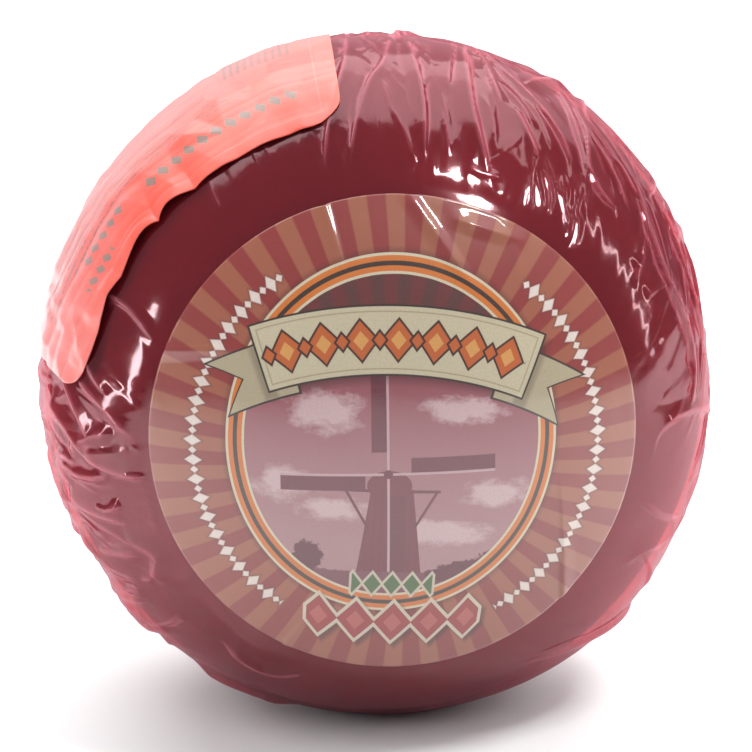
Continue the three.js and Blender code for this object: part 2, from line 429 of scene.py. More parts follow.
def film_height():
    """How far the film stands off the ball at each point of its grid, in millimetres."""
    random = np.random.default_rng(20)
    clock, polar = np.meshgrid(CLOCK, POLAR)
    left = np.exp(-((clock_gap(clock, math.radians(-100)) / 0.6) ** 2))
    low_left = np.exp(-((clock_gap(clock, math.radians(-140)) / 0.5) ** 2))
    top = np.exp(-((clock_gap(clock, math.radians(2)) / 0.55) ** 2))
    right = np.exp(-((clock_gap(clock, math.radians(62)) / 0.6) ** 2))
    low_right = np.exp(-((clock_gap(clock, math.radians(135)) / 0.5) ** 2))
    calm = 1 - 0.7 * low_right
    under_side = np.exp(-((clock_gap(clock, SIDE_LABEL_CLOCK) / 0.75) ** 4))
    under_side = under_side * step(math.radians(56), math.radians(68), polar)
    behind = step(math.radians(80), math.radians(120), polar)
    coarse = facets(random, 15, 30, 1.3)
    medium = facets(random, 6.5, 13, 1.6)
    small = facets(random, 3.0, 6, 2.0)
    strands = facets(random, 2.6, 22, 1.5)
    patchy = np.clip(0.6 + 0.5 * soft_noise(random, 4), 0.15, 1.4)
    height = coarse * (0.4 + 0.7 * left + 1.1 * low_left + 0.6 * behind) * calm
    height += medium * (0.15 + 1.2 * left + 0.5 * low_left + 0.4 * behind) * calm * patchy
    height += small * (0.04 + 0.6 * left + 0.14 * low_left + 0.15 * behind) * calm * patchy
    height += strands * (0.03 + 0.16 * top) + sheared(strands, -0.6) * (0.04 + 0.14 * right)
    height *= 0.75 + 0.25 * soft_noise(random, 3)
    height = np.maximum(height, 0) * (1 - 0.4 * under_side)
    slack = np.exp(-((clock_gap(clock, math.radians(128)) / 0.55) ** 2))
    height += 2.2 * slack * step(math.radians(48), math.radians(80), polar)
    folds = np.zeros_like(height)
    random_creases(random, folds, 120, (-180, 180), (70, 130), (0.4, 1.4), (2, 6), 0.0, (15, 50))
    random_creases(random, folds, 60, (-140, -75), (50, 90), (0.4, 1.5), (1.5, 5), 0.1, (8, 25))
    random_creases(random, folds, 40, (-24, 14), (54, 88), (0.2, 0.6), (0.9, 2.4), -0.1, (12, 38))
    random_creases(random, folds, 26, (-24, 20), (44, 56), (0.15, 0.45), (0.9, 2.2), -0.1, (12, 30))
    random_creases(random, folds, 30, (18, 64), (52, 84), (0.25, 0.8), (1.0, 4.0), -0.6, (14, 36))
    random_creases(random, folds, 14, (24, 44), (43, 52), (0.2, 0.45), (0.9, 2.0), -0.3, (10, 20))
    random_creases(random, folds, 34, (45, 115), (60, 90), (0.3, 0.9), (1.2, 4), -1.2, (6, 16))
    random_creases(random, folds, 30, (-160, 175), (48, 80), (0.15, 0.5), (2, 6), 0.0, (8, 20))
    random_creases(random, folds, 40, (-132, -84), (48, 72), (0.3, 0.9), (1.0, 3.5), 0.3, (8, 22))
    main = np.zeros_like(height)
    for line, tall, gentle, steep in MAIN_CREASES:
        add_crease(main, line, tall, gentle, steep)
    folds *= (1 - 0.5 * low_right) * (1 - 0.7 * under_side)
    height += np.maximum(folds, main)
    height += rear_pleats(random)
    under_label = step(math.radians(42.6), math.radians(46), polar)
    mouth = 1 - 0.35 * step(math.radians(165), math.radians(177), polar)
    return blur(height * under_label * mouth, 0.5)


def crease_amount(height):
    """How sharply the film bends at each point, from 0 to 1."""
    spread = blur(height, 2.2)
    return np.clip(np.abs(height - spread) * 6.5, 0, 1) ** 2


def make_film(height):
    clock, polar = np.meshgrid(CLOCK, POLAR)
    outside = settle(skin(polar, clock, FILM_LIFT + height), 0.02)
    inside = settle(skin(polar, clock, FILM_LIFT + height - FILM_THICKNESS), 0.02 + FILM_THICKNESS)
    rows, count = len(POLAR), len(POLAR) * COLUMNS
    points = np.concatenate([outside.reshape(-1, 3), inside.reshape(-1, 3)])
    last = (rows - 1) * COLUMNS
    column = np.arange(COLUMNS)
    nxt = (column + 1) % COLUMNS
    rim = np.stack([last + column, last + nxt, count + last + nxt, count + last + column], -1)
    quads = np.concatenate(
        [ring_quads(rows, COLUMNS), ring_quads(rows, COLUMNS, count, True), rim]
    )
    front_rim = np.stack([nxt, column, count + column, count + nxt], -1)
    quads = np.concatenate([quads, front_rim])
    film = mesh_object("film_wrap_fine", points, quads)
    crease = crease_amount(height)
    set_number(film, "crease", np.concatenate([crease.ravel(), crease.ravel()]))
    set_number(film, "lift", np.concatenate([height.ravel(), height.ravel()]))
    return film


def settle(points, floor):
    """Presses what would be under a height flat against it."""
    points = points.copy()
    points[..., 2] = np.maximum(points[..., 2], floor)
    return points


def make_cheese():
    rows, columns = 150, 280
    polar = np.linspace(0, math.pi, rows)[1:-1]
    clock = np.arange(columns) * 2 * math.pi / columns
    grid_clock, grid_polar = np.meshgrid(clock, polar)
    waves = np.sin(3 * grid_clock + 2 * grid_polar) * np.sin(2 * grid_polar)
    dents = np.sin(7 * grid_clock - 3 * grid_polar) * np.sin(5 * grid_polar + 1)
    lift = -0.12 + 0.07 * waves + 0.05 * dents * np.sin(grid_polar) ** 2
    points = settle(skin(grid_polar, grid_clock, lift), CHEESE_FLOOR)
    poles = np.stack([skin(0.0, 0.0, -0.12), skin(math.pi, 0.0, -0.12)])
    body = points.reshape(-1, 3)
    count = len(body)
    quads = ring_quads(rows - 2, columns)
    column = np.arange(columns)
    nxt = (column + 1) % columns
    last = (rows - 3) * columns
    front_cap = np.stack([np.full(columns, count), nxt, column, column], -1)
    back_cap = np.stack([np.full(columns, count + 1), last + column, last + nxt, last + nxt], -1)
    faces = [tuple(q) for q in quads]
    faces += [tuple(q[:3]) for q in front_cap]
    faces += [tuple(q[:3]) for q in back_cap]
    mesh = bpy.data.meshes.new("cheese_ball_fine")
    mesh.from_pydata((np.concatenate([body, poles]) * MM).tolist(), [], [list(map(int, f)) for f in faces])
    mesh.polygons.foreach_set("use_smooth", np.ones(len(mesh.polygons), bool))
    thing = bpy.data.objects.new("cheese_ball_fine", mesh)
    bpy.context.scene.collection.objects.link(thing)
    return thing


# ---------------------------------------------------------------- the labels


# The round label's darts: x and y of each one's outer and inner end, its height and two widths.
DARTS = (
    (-20.5, 53.5, -14.5, 38.0, 0.9, 3.5, 0.6),
    (-57.0, 16.0, -33.0, 20.0, 0.9, 3.5, 0.6),
    (-21.0, -52.0, -17.0, -44.0, 0.8, 3.5, 0.6),
    (44.0, -40.0, 37.0, -4.0, 0.8, 3.5, 0.6),
    (0.0, 55.0, 16.0, 34.0, 0.8, 3.0, 2.0),
    (22.0, 52.0, 26.0, 34.0, 0.3, 3.0, 1.5),
    (13.0, 51.0, 27.0, 47.5, 1.0, 3.0, 3.0),
)


def dart_height(x, y):
    field = np.zeros_like(x)
    for x0, y0, x1, y1, height, gentle, steep in DARTS:
        length = math.hypot(x1 - x0, y1 - y0)
        ux, uy = (x1 - x0) / length, (y1 - y0) / length
        along = (x - x0) * ux + (y - y0) * uy
        away = (x - x0) * -uy + (y - y0) * ux
        fade = np.clip(1 - along / length, 0, 1) ** 0.7 * np.clip(1 + along / 6, 0, 1)
        field = np.maximum(field, ridge(away, height, gentle, steep) * fade)
    return field


def flat_distance(radius):
    """How far a point of the front skin lies from the pole, measured over the skin."""
    fine = np.linspace(0, ROUND_LABEL_RADIUS, 400)
    line = front(fine, 0.0, LABEL_LIFT)
    run = np.concatenate([[0], np.cumsum(np.linalg.norm(np.diff(line, axis=0), axis=1))])
    return np.interp(radius, fine, run)


def make_round_label():
    columns, rings = 540, 150
    radius = np.linspace(0, 1, rings + 1)[1:] * ROUND_LABEL_RADIUS
    clock = np.arange(columns) * 2 * math.pi / columns
    grid_clock, grid_radius = np.meshgrid(clock, radius)
    run = flat_distance(grid_radius)
    x, y = run * np.sin(grid_clock), run * np.cos(grid_clock)
    waves = 0.05 * np.sin(x / 6 + 1.3 * np.sin(y / 9)) * np.sin(y / 7 + 0.5)
    edge = step(0.93, 1.0, grid_radius / ROUND_LABEL_RADIUS)
    curl = edge * (0.10 + 0.10 * np.sin(5 * grid_clock + 1) + 0.06 * np.sin(11 * grid_clock))
    lift = LABEL_LIFT + waves + curl + dart_height(x, y)
    top = front(grid_radius, grid_clock, lift + LABEL_THICKNESS).reshape(-1, 3)
    under = front(grid_radius, grid_clock, lift).reshape(-1, 3)
    count = len(top)
    poles = np.stack([front(0.0, 0.0, LABEL_LIFT + LABEL_THICKNESS), front(0.0, 0.0, LABEL_LIFT)])
    points = np.concatenate([top, under, poles])
    column = np.arange(columns)
    nxt = (column + 1) % columns
    last = (rings - 1) * columns
    rim = np.stack([last + column, last + nxt, count + last + nxt, count + last + column], -1)
    quads = np.concatenate(
        [ring_quads(rings, columns), ring_quads(rings, columns, count, True), rim]
    )
    faces = [tuple(q) for q in quads.tolist()]
    faces += [(2 * count, int(b), int(a)) for a, b in zip(column, nxt)]
    faces += [(2 * count + 1, count + int(a), count + int(b)) for a, b in zip(column, nxt)]
    mesh = bpy.data.meshes.new("front_label_fine")
    mesh.from_pydata((points * MM).tolist(), [], faces)
    mesh.polygons.foreach_set("use_smooth", np.ones(len(mesh.polygons), bool))
    label = bpy.data.objects.new("front_label_fine", mesh)
    bpy.context.scene.collection.objects.link(label)
    flat = np.stack([x, y], -1).reshape(-1, 2)
    set_uv(label, np.concatenate([flat, flat, np.zeros((2, 2))]), UV_SPAN)
    return label


def film_sampler(height):
    """A function that gives the film's height at any polar and clock angle."""

    def sample(polar, clock):
        row = np.interp(polar, POLAR, np.arange(len(POLAR)))
        column = (clock / (2 * math.pi) * COLUMNS) % COLUMNS
        r0 = np.clip(np.floor(row).astype(int), 0, len(POLAR) - 2)
        c0 = np.floor(column).astype(int) % COLUMNS
        c1 = (c0 + 1) % COLUMNS
        fr, fc = row - r0, column - np.floor(column)
        upper = height[r0, c0] * (1 - fc) + height[r0, c1] * fc
        lower = height[r0 + 1, c0] * (1 - fc) + height[r0 + 1, c1] * fc
        return upper * (1 - fr) + lower * fr

    return sample


def make_side_label(height):
    rows, columns = 180, 260
    down = np.linspace(0, SIDE_LABEL_WIDTH, rows)
    reach = np.maximum(0, SIDE_LABEL_CORNER - np.minimum(down, SIDE_LABEL_WIDTH - down))
    inset = SIDE_LABEL_CORNER - np.sqrt(SIDE_LABEL_CORNER**2 - reach**2)
    half = SIDE_LABEL_LENGTH / 2 - inset
    share = np.linspace(-1, 1, columns)
    along = half[:, None] * share[None, :]
    across = np.repeat((down - SIDE_LABEL_WIDTH / 2)[:, None], columns, axis=1)
    near_edge = step(0, 1, 1 - (across + SIDE_LABEL_WIDTH / 2) / 12)
    wander = along / 8.1 + 1.7 * np.sin(along / 17 + 0.6) + 0.5 * np.sin(along / 5.3)
    pucker = np.abs(np.sin(wander)) ** 0.8 * (0.55 + 0.45 * np.sin(along / 11 + 2.0))
    pulled = across + near_edge * (2.0 * pucker - 0.5)
    turned = along * math.cos(SIDE_LABEL_TURN) + pulled * math.sin(SIDE_LABEL_TURN)
    back = pulled * math.cos(SIDE_LABEL_TURN) - along * math.sin(SIDE_LABEL_TURN)
    clock = SIDE_LABEL_CLOCK + turned / (WIDE + LABEL_LIFT)
    polar = SIDE_LABEL_POLAR + back / ((WIDE + DEEP) / 2 + LABEL_LIFT)
    smooth_sample = film_sampler(blur(height, 2.2))
    crumple = film_sampler(facets(np.random.default_rng(8), 6, 10, 1.4))(polar, clock)
    sample = film_sampler(height)
    drift = across + 3.0 * np.sin(along / 23 + 0.7) + 0.8 * np.sin(along / 6.1)
    streaks = np.abs(np.sin(drift / 4.1)) ** 0.6 * 0.5 + np.abs(np.sin(drift / 2.3 + along / 40)) * 0.25
    streaks = streaks * (0.35 + 0.65 * step(10, -30, along))
    wanted = smooth_sample(polar, clock) * 0.7 + 0.1 + near_edge * pucker * 0.8 + streaks + 0.7 * crumple
    lift = FILM_LIFT + np.maximum(wanted, sample(polar, clock) + 0.22)
    top = skin(polar, clock, lift + LABEL_THICKNESS).reshape(-1, 3)
    under = skin(polar, clock, lift).reshape(-1, 3)
    count = rows * columns
    grid = np.arange(count).reshape(rows, columns)
    border = np.concatenate([grid[0, :-1], grid[:-1, -1], grid[-1, :0:-1], grid[:0:-1, 0]])
    after = np.roll(border, -1)
    wall = np.stack([after, border, count + border, count + after], -1)
    quads = np.concatenate(
        [patch_quads(rows, columns), patch_quads(rows, columns, count, True), wall]
    )
    label = mesh_object("side_label_fine", np.concatenate([top, under]), quads)
    flat = np.stack([along, across], -1).reshape(-1, 2)
    set_uv(label, np.concatenate([flat, flat]), UV_SPAN)
    return label


# ---------------------------------------------------------------- shader helpers


class Amount:
    """A number at each point of a surface, worked out by math nodes."""

    def __init__(self, tree, source):
        self.tree = tree
        self.source = source

    def math(self, operation, *others, clamp=False):
        node = self.tree.nodes.new("ShaderNodeMath")
        node.operation = operation
        node.use_clamp = clamp
        for slot, value in zip(node.inputs, (self, *others)):
            put(self.tree, slot, value)
        return Amount(self.tree, node.outputs[0])

    def __add__(self, other):
        return self.math("ADD", other)

    def __sub__(self, other):
        return self.math("SUBTRACT", other)

    def __mul__(self, other):
        return self.math("MULTIPLY", other)

    def __truediv__(self, other):
        return self.math("DIVIDE", other)

    def size(self):
        return self.math("ABSOLUTE")

    def least(self, other):
        return self.math("MINIMUM", other)

    def most(self, other):
        return self.math("MAXIMUM", other)

    def centred(self, period):
        """The signed distance from the nearest multiple of the period."""
        return self.math("WRAP", period / 2, -period / 2)

    def inside(self, edge=0.12):
        """1 where this distance is below zero and 0 where it is above, over a soft edge."""
        return self.math("MULTIPLY_ADD", -1 / edge, 0.5, clamp=True)


def put(tree, slot, value):
    """Links a value to a node's input, or sets it there."""
    if isinstance(value, Amount):
        value = value.source
    if isinstance(value, bpy.types.NodeSocket):
        tree.links.new(value, slot)
    elif isinstance(value, tuple) and len(value) == 3 and slot.type == "RGBA":
        slot.default_value = (*value, 1.0)
    else:
        slot.default_value = value


def srgb(red, green, blue):
    """A colour as it shows on a screen, from 0 to 255, as the shader's linear values."""
    values = []
    for level in (red, green, blue):
        share = level / 255
        values.append(share / 12.92 if share <= 0.04045 else ((share + 0.055) / 1.055) ** 2.4)
    return tuple(values)


# How much light the round label's print gives back, against its colours' full values.
PRINT = 0.62


def printed(red, green, blue):
    return tuple(PRINT * level for level in srgb(red, green, blue))


class Ink:
    """Paints shapes over each other on a flat sheet, by nodes, in millimetres."""

    def __init__(self, tree, vector):
        self.tree = tree
        self.vector = vector
        self.colour = None

    def dot(self, x, y):
        """The coordinate along a direction."""
        node = self.tree.nodes.new("ShaderNodeVectorMath")
        node.operation = "DOT_PRODUCT"
        put(self.tree, node.inputs[0], self.vector)
        node.inputs[1].default_value = (x, y, 0)
        return Amount(self.tree, node.outputs["Value"])

    def far(self, x, y):
        """The distance from a point."""
        node = self.tree.nodes.new("ShaderNodeVectorMath")
        node.operation = "DISTANCE"
        put(self.tree, node.inputs[0], self.vector)
        node.inputs[1].default_value = (x, y, 0)
        return Amount(self.tree, node.outputs["Value"])

    def oval(self, x, y, half_x, half_y):
        """The distance outside an oval, about true near its edge."""
        node = self.tree.nodes.new("ShaderNodeVectorMath")
        node.operation = "MULTIPLY_ADD"
        put(self.tree, node.inputs[0], self.vector)
        node.inputs[1].default_value = (1 / half_x, 1 / half_y, 0)
        node.inputs[2].default_value = (-x / half_x, -y / half_y, 0)
        length = self.tree.nodes.new("ShaderNodeVectorMath")
        length.operation = "LENGTH"
        self.tree.links.new(node.outputs[0], length.inputs[0])
        mean = (half_x + half_y) / 2
        return Amount(self.tree, length.outputs["Value"]).math("MULTIPLY_ADD", mean, -mean)

    def bar(self, x0, y0, x1, y1, half_width, half_end=None):
        """The distance outside a straight bar between two points, wider at its end if asked."""
        length = math.hypot(x1 - x0, y1 - y0)
        ux, uy = (x1 - x0) / length, (y1 - y0) / length
        mid_along = ((x0 + x1) * ux + (y0 + y1) * uy) / 2
        mid_away = x0 * -uy + y0 * ux
        along = self.dot(ux, uy) - mid_along
        away = (self.dot(-uy, ux) - mid_away).size()
        if half_end is None:
            away = away - half_width
        else:
            middle = (half_width + half_end) / 2
            slope = (half_end - half_width) / length
            away = away - along.math("MULTIPLY_ADD", slope, middle)
        return away.most(along.size() - length / 2)

    def paint(self, mask, colour):
        node = self.tree.nodes.new("ShaderNodeMix")
        node.data_type = "RGBA"
        put(self.tree, node.inputs["Factor"], mask)
        put(self.tree, node.inputs["A"], self.colour)
        put(self.tree, node.inputs["B"], colour)
        self.colour = node.outputs["Result"]


def new_material(name):
    material = bpy.data.materials.new(name)
    material.use_nodes = True
    tree = material.node_tree
    tree.nodes.clear()
    output = tree.nodes.new("ShaderNodeOutputMaterial")
    return material, tree, output


def shader(tree, kind, **inputs):
    node = tree.nodes.new(kind)
    for name, value in inputs.items():
        put(tree, node.inputs[name.replace("_", " ")], value)
    return node


def noise(tree, vector, scale, detail=2.0, roughness=0.5):
    node = tree.nodes.new("ShaderNodeTexNoise")
    put(tree, node.inputs["Vector"], vector)
    node.inputs["Scale"].default_value = scale
    node.inputs["Detail"].default_value = detail
    node.inputs["Roughness"].default_value = roughness
    return Amount(tree, node.outputs["Fac"])


def flat_vector(tree, span, turn=0.0, x=0.0, y=0.0):
    """Millimetres over the flat sheet, from the flat UV map, turned and moved to a new origin."""
    uv = tree.nodes.new("ShaderNodeUVMap")
    uv.uv_map = "flat"
    scale = tree.nodes.new("ShaderNodeMapping")
    scale.vector_type = "POINT"
    tree.links.new(uv.outputs[0], scale.inputs["Vector"])
    scale.inputs["Location"].default_value = (-span / 2, -span / 2, 0)
    scale.inputs["Scale"].default_value = (span, span, 1)
    move = tree.nodes.new("ShaderNodeMapping")
    move.vector_type = "TEXTURE"
    tree.links.new(scale.outputs[0], move.inputs["Vector"])
    move.inputs["Location"].default_value = (x, y, 0)
    move.inputs["Rotation"].default_value = (0, 0, turn)
    return move.outputs[0]


def object_vector(tree):
    return tree.nodes.new("ShaderNodeTexCoord").outputs["Object"]


def mixed(tree, factor, first, second):
    """One of two shaders or a blend, by a factor."""
    node = tree.nodes.new("ShaderNodeMixShader")
    put(tree, node.inputs[0], factor)
    tree.links.new(first.outputs[0], node.inputs[1])
    tree.links.new(second.outputs[0], node.inputs[2])
    return node


def blended(tree, factor, first, second):
    """A colour between two, by a factor."""
    node = tree.nodes.new("ShaderNodeMix")
    node.data_type = "RGBA"
    put(tree, node.inputs["Factor"], factor)
    put(tree, node.inputs["A"], first)
    put(tree, node.inputs["B"], second)
    return node.outputs["Result"]


def bump(tree, height, distance, strength=1.0):
    node = tree.nodes.new("ShaderNodeBump")
    put(tree, node.inputs["Height"], height)
    node.inputs["Distance"].default_value = distance
    node.inputs["Strength"].default_value = strength
    return node.outputs[0]


# ---------------------------------------------------------------- materials


def wax_material():
    material, tree, output = new_material("dark_red_wax")
    place = object_vector(tree)
    mottle = noise(tree, place, 60, 4, 0.6)
    dark, light = srgb(90, 20, 32), srgb(120, 34, 46)
    surface = shader(
        tree,
        "ShaderNodeBsdfPrincipled",
        Base_Color=blended(tree, mottle, dark, light),
        Roughness=mottle.math("MULTIPLY_ADD", 0.2, 0.35),
        Normal=bump(tree, noise(tree, place, 260, 3), 0.0004, 0.4),
    )
    tree.links.new(surface.outputs[0], output.inputs["Surface"])
    return material


def attribute(tree, name):
    node = tree.nodes.new("ShaderNodeAttribute")
    node.attribute_name = name
    return Amount(tree, node.outputs["Fac"])


def film_material():
    """Clear red film: tinted where it is seen through, milky at creases, bright red where it is loose, and
    with painted shade near the floor that darkens its tint and makes it less milky.
    """
    material, tree, output = new_material("clear_red_film")
    place = object_vector(tree)
    cloud = noise(tree, place, 45, 4, 0.6)
    creased, lifted = attribute(tree, "crease"), attribute(tree, "lift")
    edge = tree.nodes.new("ShaderNodeLayerWeight")
    edge.inputs["Blend"].default_value = 0.5
    facing = Amount(tree, edge.outputs["Facing"])
    high = tree.nodes.new("ShaderNodeSeparateXYZ")
    put(tree, high.inputs[0], place)
    # Painted shade: under is 0.9 at the floor and fades to 0 at 30 mm up; it darkens the film's tint and
    # takes milkiness away low down.
    under = Amount(tree, high.outputs["Z"]).math("MULTIPLY_ADD", -30.0, 0.9, clamp=True)
    tint = blended(tree, cloud, (0.92, 0.47, 0.53), (0.87, 0.41, 0.47))
    tint_with_painted_low_shade = blended(tree, under, tint, (0.80, 0.40, 0.47))
    clear = shader(tree, "ShaderNodeBsdfTransparent", Color=tint_with_painted_low_shade)
    loose = lifted.math("MULTIPLY_ADD", 0.4, -0.7, clamp=True)
    tone = blended(tree, loose, srgb(134, 66, 82), srgb(206, 36, 46))
    worn = blended(tree, creased, tone, srgb(198, 118, 132))
    body = shader(tree, "ShaderNodeBsdfDiffuse", Color=worn)
    thick = facing.math("POWER", 5.0) * 0.5
    # The under term here is the painted shade near the floor, making the film less milky there.
    milky = creased.math("MULTIPLY_ADD", 0.14, 0.05) + loose * 0.2 + thick - under * 0.03
    base = mixed(tree, milky.least(1.0), clear, body)
    fine = bump(tree, noise(tree, place, 90, 3), 0.0002, 0.25)
    rough = cloud.math("MULTIPLY_ADD", 0.16, 0.02)
    gloss = shader(tree, "ShaderNodeBsdfGlossy", Color=(1.0, 0.96, 0.98), Roughness=rough, Normal=fine)
    shine = facing.math("POWER", 4.0).math("MULTIPLY_ADD", 0.18, 0.05)
    film = mixed(tree, shine, base, gloss)
    tree.links.new(film.outputs[0], output.inputs["Surface"])
    return material


def paint_rays(ink, centre):
    """Rays from the label's centre, alternately brick red and tan."""
    x = ink.dot(1, 0) - centre[0]
    y = ink.dot(0, 1) - centre[1]
    angle = y.math("ARCTAN2", x)
    ray = (angle * 40.0).math("SINE")
    ink.colour = printed(150, 52, 48)
    ink.paint((ray * -1.0).inside(0.35), printed(170, 98, 72))


def paint_oval(ink):
    """The oval picture's ring and its dark striped ground."""
    outer = ink.oval(0, 0, 36.7, 41.1)
    x, y = ink.dot(1, 0), ink.dot(0, 1)
    ink.paint((outer - 0.7).inside(1.6) * 0.55, printed(70, 30, 30))
    for inset, colour in (
        (0.0, printed(225, 215, 185)),
        (0.6, printed(225, 125, 45)),
        (1.75, printed(52, 48, 40)),
        (2.75, printed(225, 125, 45)),
        (3.9, printed(225, 215, 185)),
        (4.5, printed(112, 48, 48)),
    ):
        ink.paint((outer + inset).inside(), colour)
    inside = (outer + 4.5).inside()
    ray = (y.math("ARCTAN2", x) * 36.0).math("SINE")
    ink.paint(ray.inside(0.35) * inside, printed(92, 54, 52))
    return inside


def paint_sky(ink, inside):
    """A rose sky with clouds, down to a low horizon."""
    y = ink.dot(0, 1)
    lower = (y - 16.0).inside(0.3) * inside
    fade = y.math("MULTIPLY_ADD", -1 / 40, 0.35, clamp=True)
    sky = blended(ink.tree, fade, printed(158, 82, 92), printed(186, 142, 146))
    ink.paint(lower, sky)
    stretch = ink.tree.nodes.new("ShaderNodeMapping")
    put(ink.tree, stretch.inputs["Vector"], ink.vector)
    stretch.inputs["Scale"].default_value = (0.75, 1.25, 1)
    puffs = noise(ink.tree, stretch.outputs[0], 0.22, 6, 0.66)
    for x0, y0, half_x, half_y in (
        (-15, 6, 8, 4.5),
        (15, 7, 9, 3),
        (-24, -11, 6, 4),
        (24, -12, 7, 3.5),
        (-12, -16, 8, 2.5),
        (10, -21, 12, 3),
    ):
        near = ink.oval(x0, y0, half_x, half_y).math("MULTIPLY_ADD", -0.07, 0.02)
        cloud = (puffs + near - 0.44).math("MULTIPLY", 4.0, clamp=True)
        reach = ink.oval(x0, y0, half_x * 1.5, half_y * 1.5).inside(6.0)
        ink.paint(cloud * reach * lower * 0.8, printed(226, 196, 196))
    return lower


def paint_mill(ink, lower):
    """A windmill with four lattice sails, a tapered tower and a stage with braces."""
    body, trim, pale = printed(124, 48, 62), printed(112, 44, 60), printed(206, 170, 174)
    tower = ink.bar(0.6, -31.5, 0.4, -11.0, 7.2, 4.6)
    ink.paint(tower.inside() * lower, body)
    stripes = (ink.dot(1, 0).centred(1.6).size() - 0.16).inside(0.25)
    ink.paint(stripes * tower.inside() * lower * 0.5, trim)
    ink.paint(ink.bar(-10.4, -11.4, 11.0, -11.4, 0.35).inside() * lower, trim)
    for x0, x1 in ((-9.6, -4.6), (10.2, 5.6)):
        ink.paint(ink.bar(x0, -11.6, x1, -20.0, 0.3).inside() * lower, trim)
    cap = ink.oval(-0.2, -10.2, 4.9, 3.4).most(ink.dot(0, -1) - 12.0)
    ink.paint(cap.inside() * lower, body)
    hub = (-0.6, -7.6)
    for turn in (93, 183, 273, 3):
        a = math.radians(turn)
        ux, uy = math.cos(a), math.sin(a)
        vx, vy = -uy, ux
        x, y = hub
        tip = (x + 23.5 * ux, y + 23.5 * uy)
        root = (x + 5.0 * ux, y + 5.0 * uy)
        side = 1.7
        sail = ink.bar(
            root[0] + side * vx, root[1] + side * vy, tip[0] + side * vx, tip[1] + side * vy, 1.9
        )
        ink.paint(sail.inside() * lower, trim)
        along = ink.dot(ux, uy) - (x * ux + y * uy)
        rungs = (along.centred(1.5).size() - 0.16).inside(0.2)
        ink.paint(rungs * sail.inside() * lower * 0.45, body)
        stock = ink.bar(x, y, tip[0], tip[1], 0.28)
        ink.paint(stock.inside() * lower, pale)
    ink.paint((ink.far(*hub) - 1.0).inside() * lower, trim)


def paint_ground(ink, lower):
    """Bushes and a strip of land under the mill."""
    rough = noise(ink.tree, ink.vector, 0.5, 4, 0.65)
    land = printed(104, 44, 58)
    ink.paint(((ink.dot(0, 1) + 31.6) - rough * 1.6).inside(0.3) * lower, printed(128, 72, 84))
    for x0, y0, half_x, half_y in (
        (-17.5, -28.0, 3.4, 4.0),
        (-23.0, -31.0, 5.0, 2.4),
        (19.0, -30.5, 7.5, 2.6),
        (24.0, -28.5, 4.0, 2.8),
        (12.5, -31.5, 3.6, 1.6),
    ):
        bush = ink.oval(x0, y0, half_x, half_y) + rough.math("MULTIPLY_ADD", 4.0, -2.0)
        ink.paint(bush.inside(0.4) * lower, land)


def ribbon_marks(ink, run, depth, period, half_x, half_y, reach):
    """The distance outside a row of lozenges that fills a band."""
    cell = run.centred(period).size() / half_x
    lozenge = cell + depth.size() / half_y - 1.0
    return (lozenge * min(half_x, half_y) * 0.75).most(run.size() - reach)


def paint_banner(ink):
    """An arched ribbon with folded ends and a plain row of ornaments in place of lettering."""
    x = ink.dot(1, 0) - 0.5
    y = ink.dot(0, 1) + 61.7
    radius = (x * x + y * y).math("SQRT")
    angle = x.math("ARCTAN2", y) * 57.2958
    ribbon = (radius - 83.7).size() - 7.3
    main = ribbon.most(angle.size() * 1.45 - 21.2 * 1.45)
    depth = radius - 80.6
    end = depth.size() * 0.75
    tail = (depth.size() - 6.1).most((angle.size() - 24.6 - end) * 1.4).most(angle.size() * -1.0 + 16.5)
    shadow_x = ink.dot(1, 0) - 1.5
    shadow_y = ink.dot(0, 1) + 63.3
    shadow_r = (shadow_x * shadow_x + shadow_y * shadow_y).math("SQRT")
    shadow_a = shadow_x.math("ARCTAN2", shadow_y) * 57.2958
    shadow = ((shadow_r - 83.7).size() - 7.3).most((shadow_a.size() - 21.2) * 1.45)
    ink.paint(shadow.inside(2.4) * 0.65, printed(48, 24, 26))
    edge, cream = printed(46, 42, 36), printed(214, 204, 172)
    ink.paint((tail - 0.45).inside(), edge)
    ink.paint(tail.inside(), printed(190, 178, 146))
    fold = (depth.size() - 6.1).most((angle.size() - 21.2).size() - 1.2)
    ink.paint(fold.inside(0.8) * 0.5, printed(110, 96, 78))
    ink.paint((main - 0.45).inside(), edge)
    ink.paint(main.inside(), cream)
    inner = (main + 1.1).size() - 0.14
    ink.paint(inner.inside(0.15) * 0.6, printed(150, 128, 92))
    run = angle * 1.461
    depth = radius - 83.7
    big = ribbon_marks(ink, run, depth, 8.2, 3.5, 4.3, 28.5)
    small = ribbon_marks(ink, run + 4.1, depth, 8.2, 1.3, 1.7, 26.0)
    for marks in (big, small):
        ink.paint((marks - 0.45).inside(), printed(60, 34, 24))
        ink.paint(marks.inside(), printed(206, 104, 44))
    core = ribbon_marks(ink, run, depth, 8.2, 1.7, 2.1, 27.0)
    ink.paint(core.inside(), printed(232, 168, 92))


def paint_lower_marks(ink):
    """A small green and a large red row of ornaments at the foot of the picture."""
    x, y = ink.dot(1, 0) - 1.6, ink.dot(0, 1) + 34.0
    green = ribbon_marks(ink, x, y, 4.4, 1.9, 2.6, 9.0)
    ink.paint((green - 0.55).inside(), printed(214, 202, 178))
    ink.paint(green.inside(), printed(74, 112, 62))
    x, y = ink.dot(1, 0) - 2.4, ink.dot(0, 1) + 44.6
    bowed = y + x * x * -0.004
    shadow = ribbon_marks(ink, x - 0.9, bowed + 1.0, 8.4, 4.3, 5.6, 19.6)
    ink.paint((shadow - 0.8).inside(1.2) * 0.7, printed(60, 26, 28))
    red = ribbon_marks(ink, x, bowed, 8.4, 4.3, 5.6, 19.6)
    ink.paint((red - 0.75).inside(), printed(222, 210, 186))
    ink.paint(red.inside(), printed(168, 58, 60))
    core = ribbon_marks(ink, x, bowed, 8.4, 2.1, 2.8, 18.8)
    ink.paint(core.inside(), printed(196, 100, 92))


